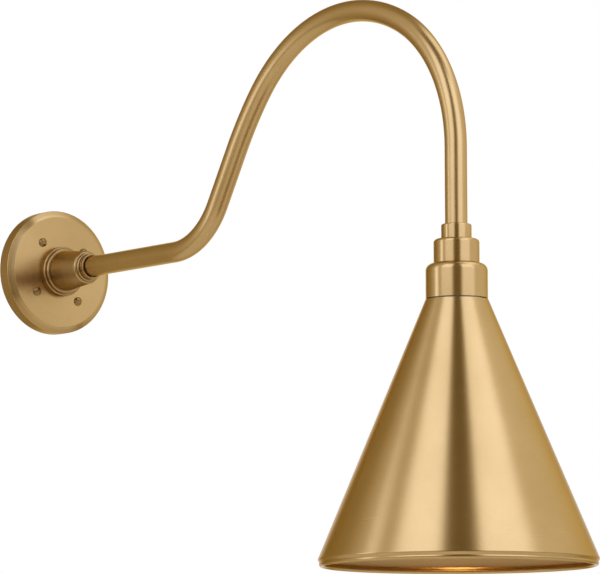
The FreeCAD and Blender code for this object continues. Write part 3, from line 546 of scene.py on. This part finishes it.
def around_circle(tree, count, radius, first):
    """Points evenly round a circle in the XY plane, with each one's x, y and number."""
    index = add(tree, "GeometryNodeInputIndex").outputs[0]
    step = sums(tree, "DIVIDE", math.tau, count)
    angle = sums(tree, "ADD", sums(tree, "MULTIPLY", index, step), first)
    x = sums(tree, "MULTIPLY", sums(tree, "COSINE", angle), radius)
    y = sums(tree, "MULTIPLY", sums(tree, "SINE", angle), radius)
    place = add(tree, "ShaderNodeCombineXYZ", {0: x, 1: y}).outputs[0]
    points = add(tree, "GeometryNodePoints", {"Count": count, "Position": place}).outputs[0]
    return points, x, y, index


def plate_screws():
    """Four slotted round-head screws on the face of the plate, each with its own slot angle."""
    crown = plate_depth + screw_head_height
    outline = rounded([
        (0, plate_depth - screw_length),
        (screw_shank_diameter / 2, plate_depth - screw_length),
        (screw_shank_diameter / 2, plate_depth),
        (screw_head_diameter / 2, plate_depth),
        (screw_head_diameter / 2, plate_depth + screw_head_edge, screw_head_edge / 2),
        (screw_head_diameter / 4, crown, screw_head_height),
        (0, crown),
    ])
    screw = lathe("plate_screws", outline, lambda x, y, height: Vector((x, y, height)) * MM, 48)
    slot = bpy.data.meshes.new("slot")
    saw = bmesh.new()
    bmesh.ops.create_cube(saw, size=1)
    bmesh.ops.scale(saw, verts=saw.verts,
                    vec=Vector((screw_head_diameter * 1.2, screw_slot_width, saw_height)) * MM)
    lift = Vector((0, 0, crown - screw_slot_depth + saw_height / 2)) * MM
    bmesh.ops.translate(saw, verts=saw.verts, vec=lift)
    saw.to_mesh(slot)
    saw.free()
    drill(screw, [as_object("slot", slot)])
    tree, given, wanted = node_group("plate_screw_circle", [
        ("Screw Count", "count", 4),
        ("Circle Radius", "size", screw_circle_diameter / 2 * MM),
        ("First Angle", "size", math.radians(first_screw_angle)),
        *((f"Slot {number + 1}", "size", math.radians(-angle))
          for number, angle in enumerate(screw_slot_angles)),
    ])
    points, x, y, index = around_circle(tree, given["Screw Count"], given["Circle Radius"],
                                        given["First Angle"])
    on_plate = add(tree, "ShaderNodeCombineXYZ", {0: x, 2: y}).outputs[0]
    points = add(tree, "GeometryNodeSetPosition", {"Geometry": points, "Position": on_plate})
    choice = add(tree, "GeometryNodeIndexSwitch", data_type="FLOAT")
    while len(choice.index_switch_items) < len(screw_slot_angles):
        choice.index_switch_items.new()
    tree.links.new(index, choice.inputs[0])
    for number in range(len(screw_slot_angles)):
        tree.links.new(given[f"Slot {number + 1}"], choice.inputs[number + 1])
    turn = add(tree, "ShaderNodeCombineXYZ", {0: math.pi / 2, 1: choice.outputs[0]}).outputs[0]
    spread = add(tree, "GeometryNodeInstanceOnPoints", {
        "Points": points.outputs[0], "Instance": given["Geometry"], "Rotation": turn})
    close_group(tree, given, spread.outputs[0])
    return polish(grow(screw, tree, wanted, screw_brass_painted_shade))


def arm():
    """The bent tube: a route of straight runs whose corners are rounded to the bend radii."""
    corners = [(Vector((0, -tube_start, 0)), 0.0)]
    heading = 0.0
    offsets = []
    reach, climb = 0.0, 0.0
    for radius, angle, run in arm_bends:
        turn = math.radians(abs(angle - heading))
        tangent = radius * math.tan(turn / 2)
        way = Vector((math.cos(math.radians(heading)), math.sin(math.radians(heading))))
        ahead = Vector((math.cos(math.radians(angle)), math.sin(math.radians(angle))))
        corner = Vector((reach, climb)) + way * tangent
        offsets.append((corner, radius))
        after = corner + ahead * (tangent + (run or 0.0))
        reach, climb = after
        heading = angle
    first_run_end = arm_reach - reach
    for corner, radius in offsets:
        corners.append((Vector((0, -first_run_end - corner.x, corner.y)), radius))
    corners.append((Vector((0, -arm_reach, tube_end)), 0.0))
    mesh = bpy.data.meshes.new("arm")
    mesh.from_pydata([point * MM for point, _ in corners],
                     [(i, i + 1) for i in range(len(corners) - 1)], [])
    bend = mesh.attributes.new("bend_radius", "FLOAT", "POINT")
    bend.data.foreach_set("value", [radius * MM * bend_ease for _, radius in corners])
    piece = as_object("arm", mesh)
    tree, given, wanted = node_group("bent_tube", [
        ("Tube Radius", "size", tube_diameter / 2 * MM),
        ("Sides", "count", 64),
        ("Steps per Bend", "count", 90),
        ("Stations", "count", 420),
    ])
    path = add(tree, "GeometryNodeMeshToCurve", {0: given["Geometry"]}).outputs[0]
    radius = add(tree, "GeometryNodeInputNamedAttribute", {"Name": "bend_radius"})
    path = add(tree, "GeometryNodeFilletCurve", {
        "Curve": path, "Count": given["Steps per Bend"], "Radius": radius.outputs[0]}, mode="POLY")
    path = add(tree, "GeometryNodeResampleCurve", {
        "Curve": path.outputs[0], "Count": given["Stations"]})
    spline = add(tree, "GeometryNodeSplineParameter")
    path = add(tree, "GeometryNodeStoreNamedAttribute", {
        "Geometry": path.outputs[0], "Name": "along", "Value": spline.outputs["Length"]},
        data_type="FLOAT", domain="POINT")
    profile = add(tree, "GeometryNodeCurvePrimitiveCircle", {
        "Resolution": given["Sides"], "Radius": given["Tube Radius"]}, mode="RADIUS")
    spline = add(tree, "GeometryNodeSplineParameter")
    profile = add(tree, "GeometryNodeStoreNamedAttribute", {
        "Geometry": profile.outputs[0], "Name": "around", "Value": spline.outputs["Factor"]},
        data_type="FLOAT", domain="POINT")
    tube = add(tree, "GeometryNodeCurveToMesh", {
        "Curve": path.outputs[0], "Profile Curve": profile.outputs[0]}).outputs[0]
    along = add(tree, "GeometryNodeInputNamedAttribute", {"Name": "along"}).outputs[0]
    around = add(tree, "GeometryNodeInputNamedAttribute", {"Name": "around"}).outputs[0]
    turn = sums(tree, "MULTIPLY", around, math.tau)
    grain = add(tree, "ShaderNodeCombineXYZ", {
        0: sums(tree, "MULTIPLY", sums(tree, "COSINE", turn), 9.0),
        1: sums(tree, "MULTIPLY", sums(tree, "SINE", turn), 9.0),
        2: sums(tree, "MULTIPLY", along, 12.0)}).outputs[0]
    tube = add(tree, "GeometryNodeStoreNamedAttribute", {
        "Geometry": tube, "Name": "grain", "Value": grain}, data_type="FLOAT_VECTOR",
        domain="POINT").outputs[0]
    flat = add(tree, "ShaderNodeCombineXYZ", {0: around, 1: along}).outputs[0]
    tube = add(tree, "GeometryNodeStoreNamedAttribute", {
        "Geometry": tube, "Name": "UVMap", "Value": flat}, data_type="FLOAT2",
        domain="CORNER").outputs[0]
    close_group(tree, given, tube)
    grow(piece, tree, wanted, arm_brass)
    wall = piece.modifiers.new("wall", "SOLIDIFY")
    wall.thickness = tube_wall * MM
    wall.offset = -1
    apply_modifiers(piece)
    return polish(piece)


def fluted_shade_ring():
    """The ring that holds the shade, with finger flutes round its lip."""
    outline = rounded([
        (ring_bore, ring_top),
        (ring_radius, ring_top, ring_edge),
        (ring_radius, ring_top - ring_lip, ring_edge),
        (ring_body_radius, ring_top - ring_lip),
        (ring_body_radius, ring_top - ring_height, ring_edge),
        (ring_bore, ring_top - ring_height),
    ])
    ring = lathe("shade_ring_fluted", outline, at_shade, 160)
    tree, given, wanted = node_group("ring_flutes", [
        ("Flute Count", "count", 20),
        ("Flute Radius", "size", 1.6 * MM),
        ("Ring Radius", "size", ring_radius * MM),
        ("Shade Axis", "size", -arm_reach * MM),
        ("Middle Height", "size", (ring_top - ring_height / 2) * MM),
    ])
    points, *_ = around_circle(tree, given["Flute Count"], given["Ring Radius"], 0.0)
    cutter = add(tree, "GeometryNodeMeshCylinder", {
        "Vertices": 20, "Radius": given["Flute Radius"],
        "Depth": ring_height * 1.5 * MM}).outputs[0]
    cutters = add(tree, "GeometryNodeInstanceOnPoints", {"Points": points, "Instance": cutter})
    shift = add(tree, "ShaderNodeCombineXYZ", {1: given["Shade Axis"], 2: given["Middle Height"]})
    cutters = add(tree, "GeometryNodeTransform", {
        "Geometry": cutters.outputs[0], "Translation": shift.outputs[0]}).outputs[0]
    cutters = add(tree, "GeometryNodeRealizeInstances", {0: cutters}).outputs[0]
    fluted = add(tree, "GeometryNodeMeshBoolean", {0: given["Geometry"], 1: cutters},
                 operation="DIFFERENCE", solver="EXACT")
    close_group(tree, given, fluted.outputs[0])
    return polish(grow(ring, tree, wanted, finishes["black_phenolic"]))


# ================= wall end =================

def wall_plate():
    half, face = plate_diameter / 2, plate_face_diameter / 2
    plate = lathe("plate", rounded([
        (half, 0),
        (half, plate_side_depth, plate_edge_rounding),
        (face, plate_depth, plate_edge_rounding),
        (nipple_hole / 2, plate_depth),
        (nipple_hole / 2, plate_floor_depth),
        (face - plate_wall / 2, plate_floor_depth),
        (half - plate_wall, plate_side_depth - plate_wall / 2, plate_edge_rounding),
        (half - plate_wall, 0),
    ]), at_wall, 192)
    cutters = []
    for number in range(4):
        angle = math.radians(first_screw_angle + 90 * number)
        x = screw_circle_diameter / 2 * math.cos(angle)
        z = screw_circle_diameter / 2 * math.sin(angle)
        reach = screw_shank_diameter / 2 + drill_clearance
        outline = [Vector(p) for p in ((0, drill_from), (reach, drill_from),
                                       (reach, drill_to), (0, drill_to))]
        cutters.append(lathe("drill", outline,
                             lambda a, b, h, x=x, z=z: Vector((a + x, -h, b + z)) * MM, 32))
    drill(plate, cutters)
    return polish(plate)


def turned_hub():
    mouth_floor = hub_mouth - hub_mouth_depth
    return polish(lathe("hub_turned", rounded([
        (nipple_hole / 2, plate_depth),
        (foot_radius, plate_depth, foot_base_rounding),
        (foot_radius, foot_top, foot_rounding),
        (hub_bead_radius, foot_top),
        (hub_bead_radius, bead_top, hub_bead_rounding),
        (barrel_start_radius, bead_top),
        (barrel_end_radius, barrel_end, barrel_rounding),
        (shoulder_radius, barrel_end),
        (shoulder_radius, shoulder_top, shoulder_rounding),
        (mouth_neck_radius, shoulder_top, mouth_neck_rounding),
        (mouth_neck_radius, mouth_ring_low),
        (mouth_ring_radius, mouth_ring_low),
        (mouth_ring_radius, hub_mouth, mouth_ring_rounding),
        (mouth_bore_radius, hub_mouth, mouth_bore_rounding),
        (mouth_bore_radius, mouth_floor),
        (tube_seat, mouth_floor),
        (tube_seat, tube_start),
        (nipple_hole / 2, tube_start),
    ]), at_wall, 160))


# ================= shade end =================

def small_collar():
    return polish(lathe("collar_small", rounded([
        (nipple_hole / 2, upper_collar_low),
        (upper_collar_radius, upper_collar_low),
        (upper_collar_radius, upper_collar_top, upper_collar_rounding),
        (tube_seat, upper_collar_top),
        (tube_seat, tube_end),
        (nipple_hole / 2, tube_end),
    ]), at_shade))


def large_collar():
    bore = middle_collar_radius - middle_collar_wall
    ceiling = upper_collar_low - middle_collar_roof
    return polish(lathe("collar_large", rounded([
        (nipple_hole / 2, upper_collar_low),
        (middle_collar_radius, upper_collar_low, middle_collar_rounding),
        (middle_collar_radius, middle_collar_low, middle_collar_edge),
        (bore, middle_collar_low),
        (bore, ceiling),
        (nipple_hole / 2, ceiling),
    ]), at_shade))


def shade_cup():
    ceiling = middle_collar_low - cup_roof
    return polish(lathe("cup", rounded([
        (nipple_hole / 2, middle_collar_low),
        (cup_radius, middle_collar_low, cup_shoulder),
        (cup_radius, cup_low),
        (cup_radius - cup_wall, cup_low),
        (cup_radius - cup_wall, ceiling, cup_shoulder - cup_wall),
        (nipple_hole / 2, ceiling),
    ]), at_shade))


def meets_circle(start, end, centre, radius):
    """The first point from start towards end that lies on a circle."""
    way = (end - start).normalized()
    nearest = (centre - start).dot(way)
    offset = (start + way * nearest - centre).length
    return start + way * (nearest - math.sqrt(radius ** 2 - offset ** 2))


def cone_shade():
    """The spun cone: wall, hem turned in, and the rolled bead under it, as one closed skin."""
    slope = math.atan2(shade_rim_radius - shade_top_radius, -(shade_bottom - shade_top))
    across = shade_wall / math.cos(slope)
    rim = Vector((shade_rim_radius, shade_bottom))
    hem = rim + Vector((-hem_inset, -hem_drop))
    inner_rim = rim - Vector((across, 0))
    inner_hem = hem - Vector((shade_wall, 0))
    bead = rim - Vector((bead_inset, bead_drop))
    outside = rounded([
        (shade_hole_radius, shade_top),
        (shade_top_radius, shade_top, shade_top_rounding),
        (*rim, hem_rounding),
        tuple(meets_circle(rim, hem, bead, bead_radius)),
    ], 7)
    inner_meet = meets_circle(inner_rim, inner_hem, bead, bead_radius)
    first = outside[-1] - bead
    sweep = first.angle_signed(inner_meet - bead) % math.tau
    steps = 40
    roll = []
    for part in range(1, steps):
        roll.append(bead + Matrix.Rotation(-sweep * part / steps, 2) @ first)
    inside = [inner_meet, inner_rim,
              Vector((shade_top_radius - across, shade_top - shade_wall)),
              Vector((shade_hole_radius, shade_top - shade_wall))]
    return polish(lathe("shade_cone", outside + roll + inside, at_shade, 256), 30)


def lamp_holder():
    """The porcelain body, with the outside thread that takes the shade ring."""
    sleeve = threaded((sleeve_radius, holder_shoulder), (sleeve_radius, sleeve_low), 96)
    outline = rounded([(0, holder_top), (holder_radius, holder_top, holder_rounding),
                       (holder_radius, holder_shoulder)])
    outline += [*sleeve, Vector((shell_bore, sleeve_low)), Vector((shell_bore, holder_web)),
                Vector((0, holder_web))]
    thread = (sleeve_low, holder_shoulder, holder_thread_pitch, holder_thread_depth,
              holder_thread_outside)
    return polish(lathe("porcelain", outline, at_shade, 96, thread), 40)


def lamp_screw_cap():
    """The lamp's screw cap, with its rolled thread."""
    inner = lamp_cap_radius - lamp_cap_wall - lamp_thread_depth
    bevel_low = lamp_cap_top - lamp_cap_bevel
    side = threaded((lamp_cap_radius, bevel_low), (lamp_cap_radius, lamp_cap_low), 90)
    outline = [Vector((lamp_cap_hole, lamp_cap_top)),
               Vector((lamp_cap_radius - 1.6, lamp_cap_top)),
               Vector((lamp_cap_radius - 0.4, lamp_cap_top - 0.5)),
               *side,
               Vector((inner, lamp_cap_low)),
               Vector((inner, lamp_cap_top - 1.3)),
               Vector((lamp_cap_hole, lamp_cap_top - 0.9))]
    thread = (lamp_cap_low + lamp_cap_skirt, bevel_low, lamp_thread_pitch, lamp_thread_depth,
              lamp_thread_outside)
    return polish(lathe("lamp_cap_threaded", outline, at_shade, 96, thread), 40)


def bulb():
    """The bulb's glass: neck, hollow curve and ball, with an inner wall."""
    centre = lamp_bottom + bulb_radius
    curve_x = bulb_neck_radius + bulb_curve
    rise = math.sqrt((bulb_curve + bulb_radius) ** 2 - curve_x ** 2)
    turn = math.atan2(rise, curve_x)
    neck_top = lamp_cap_low + bulb_neck_in_cap
    curve_steps, ball_steps = 16, 40

    def skin(thickness):
        hollow, ball = bulb_curve + thickness, bulb_radius - thickness
        points = [Vector((bulb_neck_radius - thickness, neck_top))]
        for part in range(curve_steps + 1):
            angle = turn * part / curve_steps
            points.append(Vector((curve_x - hollow * math.cos(angle),
                                  centre + rise - hollow * math.sin(angle))))
        for part in range(1, ball_steps + 1):
            angle = turn - (turn + math.pi / 2) * part / ball_steps
            points.append(Vector((ball * math.cos(angle), centre + ball * math.sin(angle))))
        points[-1].x = 0.0
        return points

    return polish(lathe("bulb", skin(0) + skin(bulb_wall)[::-1], at_shade, 96), 40)


# ================= putting it together =================

finish_piece(wall_plate(), plate_brass, "fixture", "aged_brass", "wall_plate")
finish_piece(plate_screws(), screw_brass_painted_shade, "fixture", "aged_brass", "canopy_screws")
finish_piece(turned_hub(), hub_brass_painted_shade, "fixture", "aged_brass", "hub")
finish_piece(arm(), arm_brass, "fixture", "aged_brass", "arm_tube")
finish_piece(small_collar(), shade_brass, "fixture", "aged_brass", "collar_upper")
finish_piece(large_collar(), shade_brass, "fixture", "aged_brass", "collar_middle")
finish_piece(shade_cup(), shade_brass, "fixture", "aged_brass", "socket_cup")
finish_piece(lamp_holder(), finishes["glazed_porcelain"], "fixture", "glazed_porcelain",
             "lampholder_body")
finish_piece(cone_shade(), cone_brass, "shade", "aged_brass", "shade")
finish_piece(fluted_shade_ring(), finishes["black_phenolic"], "shade_ring", "black_phenolic",
             "shade_ring")
finish_piece(lamp_screw_cap(), finishes["nickel_plate"], "lamp", "nickel_plate", "lamp_cap")
finish_piece(bulb(), lit_glass(), "lamp", "frosted_glass", "lamp_glass")


# ================= camera =================

camera_azimuth, camera_elevation, camera_roll = -38.17922, -6.94262, -0.17438
camera_target = Vector((0, -0.416886, -0.054641))
camera_distance, camera_lens, camera_sensor = 4.158981, 260.4314, 36


def photo_camera():
    """The view of the photograph: a long lens, from the left and slightly below."""
    azimuth, elevation, roll = map(math.radians,
                                   (camera_azimuth, camera_elevation, camera_roll))
    back = Vector((math.sin(azimuth) * math.cos(elevation),
                   -math.cos(azimuth) * math.cos(elevation), math.sin(elevation)))
    right = Vector((math.cos(azimuth), math.sin(azimuth), 0))
    up = right.cross(-back)
    across = right * math.cos(roll) + up * math.sin(roll)
    upward = up * math.cos(roll) - right * math.sin(roll)
    camera = bpy.data.objects.new("photo_camera", bpy.data.cameras.new("photo_camera"))
    camera.data.lens = camera_lens
    camera.data.sensor_width = camera_sensor
    camera.data.clip_end = 100
    turn = Matrix((across, upward, back)).transposed()
    spot = camera_target + back * camera_distance
    camera.matrix_world = Matrix.Translation(spot) @ turn.to_4x4()
    bpy.context.scene.collection.objects.link(camera)
    bpy.context.scene.camera = camera


photo_camera()


# ================= studio =================

studio_centre = Vector((0, -arm_reach, -200)) * MM
tent_radius = 1.6
tent_level = 0.80
tent_warm, tent_plain, tent_cool = (1.18, 0.86, 0.22), (1.0, 1.0, 1.0), (1.0, 1.12, 1.50)
floor_radius, floor_place = 9, (0, -0.4, -0.9)
floor_fade_from, floor_fade_to = 3.0, 8.5


def room():
    """A plain white room: the background, and an even light on every piece."""
    world = bpy.data.worlds.new("pale_room")
    world.use_nodes = True
    world.node_tree.nodes["Background"].inputs["Color"].default_value = (1.0, 1.0, 1.0, 1.0)
    bpy.context.scene.world = world


def soft_edged(tree, value, low, high, soft):
    """A mask that is 1 from low to high and fades over the width of its soft edge."""
    rise = remap(tree, value, low - soft / 2, low + soft / 2, 0.0, 1.0, True)
    fall = remap(tree, value, high - soft / 2, high + soft / 2, 1.0, 0.0, True)
    return sums(tree, "MULTIPLY", rise, fall)


# Each panel: azimuth from, to and soft edge; elevation from, to and soft edge; level.
# Azimuth is 0 straight out from the wall and grows to the right. Later panels lie on top.
studio_panels = {
    "right_fill": (24, 112, 30, -8, 62, 18, 1.06),
    "right_rear": (118, 168, 20, -40, 34, 24, 1.20),
    "rear_upper": (122, 200, 22, 36, 110, 18, 0.46),
    "rear_left": (-200, -146, 26, -20, 100, 30, 0.46),
    "rear_edge": (168, 200, 14, -20, 100, 30, 0.40),
    "overhead": (-110, 34, 30, 66, 110, 14, 0.20),
    "overhead_right": (32, 106, 20, 50, 92, 16, 1.80),
    "low_table": (-400, 400, 1, -110, -22, 16, 0.19),
    "low_rear_left": (-200, -120, 30, -60, -20, 20, 0.46),
    "low_rear_right": (126, 200, 30, -60, -20, 20, 0.46),
    "left_softbox": (-100, -56, 9, 11, 64, 9, 1.95),
    "right_softbox": (-20, 30, 9, 10, 62, 8, 1.95),
    "left_lower": (-108, -56, 9, -24, 8, 10, 0.70),
    "right_lower": (-20, 48, 9, -9, 6, 10, 0.92),
    "front_gap": (-54, -23, 9, -80, 86, 14, 0.20),
    "low_front_flag": (-84, 70, 20, -76, -16, 12, 0.10),
    "left_strip": (-127, -113, 6, -12, 32, 10, 2.00),
}


def studio_tent():
    """What the polished brass mirrors: soft panels in a tent that only shows in reflections."""
    mesh = bpy.data.meshes.new("studio_tent")
    shape = bmesh.new()
    bmesh.ops.create_uvsphere(shape, u_segments=48, v_segments=24, radius=tent_radius)
    bmesh.ops.translate(shape, verts=shape.verts, vec=studio_centre)
    bmesh.ops.reverse_faces(shape, faces=shape.faces)
    shape.to_mesh(mesh)
    shape.free()
    tent = as_object("studio_tent", mesh)
    material = bpy.data.materials.new("studio_tent")
    material.use_nodes = True
    tree = material.node_tree
    tree.nodes.clear()
    place = add(tree, "ShaderNodeTexCoord").outputs["Object"]
    way = add(tree, "ShaderNodeVectorMath", {0: place, 1: studio_centre}, operation="SUBTRACT")
    way = add(tree, "ShaderNodeVectorMath", {0: way.outputs[0]}, operation="NORMALIZE").outputs[0]
    x, y, z = add(tree, "ShaderNodeSeparateXYZ", {0: way}).outputs
    azimuth = sums(tree, "DEGREES", sums(tree, "ARCTAN2", x, sums(tree, "MULTIPLY", y, -1.0)))
    elevation = sums(tree, "DEGREES", sums(tree, "ARCSINE", z))
    level = tent_level
    for from_az, to_az, soft_az, from_el, to_el, soft_el, strength in studio_panels.values():
        mask = sums(tree, "MULTIPLY", soft_edged(tree, azimuth, from_az, to_az, soft_az),
                    soft_edged(tree, elevation, from_el, to_el, soft_el))
        under = sums(tree, "MULTIPLY", sums(tree, "SUBTRACT", 1.0, mask), level)
        level = sums(tree, "MULTIPLY_ADD", mask, strength, under)
    tint = blend_colour(tree, remap(tree, level, 0.05, 0.90, 0.0, 1.0), tent_warm, tent_plain)
    tint = blend_colour(tree, remap(tree, level, 1.0, 1.9, 0.0, 1.0), tint, tent_cool)
    glow = add(tree, "ShaderNodeEmission", {"Color": tint, "Strength": level})
    end = add(tree, "ShaderNodeOutputMaterial")
    tree.links.new(glow.outputs[0], end.inputs[0])
    mesh.materials.append(material)
    tent.visible_camera = False
    tent.visible_diffuse = False
    tent.visible_shadow = False
    tent.visible_transmission = False


def soft_lamp(name, spot, target, size, power):
    """A round softbox that lights the piece but doesn't show as a disc in the brass."""
    data = bpy.data.lights.new(name, "AREA")
    data.shape = "DISK"
    data.size = size
    data.energy = power
    lamp = bpy.data.objects.new(name, data)
    lamp.location = spot
    lamp.rotation_euler = (Vector(target) - Vector(spot)).to_track_quat("-Z", "Y").to_euler()
    lamp.visible_glossy = False
    lamp.visible_camera = False
    bpy.context.scene.collection.objects.link(lamp)


def pale_floor():
    """A plain floor that fades into the white room, and is clear from below."""
    mesh = bpy.data.meshes.new("floor")
    shape = bmesh.new()
    bmesh.ops.create_circle(shape, cap_ends=True, segments=96, radius=floor_radius)
    bmesh.ops.translate(shape, verts=shape.verts, vec=floor_place)
    shape.to_mesh(mesh)
    shape.free()
    floor = as_object("floor", mesh)
    material, tree, shader = new_material("pale_floor")
    place = add(tree, "ShaderNodeTexCoord").outputs["Object"]
    grit = noise(tree, place, 30.0, 3.0)
    tone = blend_colour(tree, grit, (0.80, 0.79, 0.775), (0.76, 0.75, 0.735))
    connect(tree, shader, base=tone)
    shader.inputs["Roughness"].default_value = 0.75
    reach = add(tree, "ShaderNodeVectorMath", {0: place}, operation="LENGTH").outputs["Value"]
    faded = remap(tree, reach, floor_fade_from, floor_fade_to, 0.0, 1.0, True)
    behind = add(tree, "ShaderNodeNewGeometry").outputs["Backfacing"]
    clear = sums(tree, "MAXIMUM", faded, behind)
    through = add(tree, "ShaderNodeBsdfTransparent").outputs[0]
    mixed = add(tree, "ShaderNodeMixShader", {0: clear, 1: shader.outputs[0], 2: through})
    tree.links.new(mixed.outputs[0], tree.nodes["Material Output"].inputs["Surface"])
    mesh.materials.append(material)


room()
studio_tent()
pale_floor()
soft_lamp("overhead_softbox", (-1.2, -2.2, 2.2), studio_centre, 1.8, 25)
bpy.context.scene.view_settings.view_transform = "Standard"
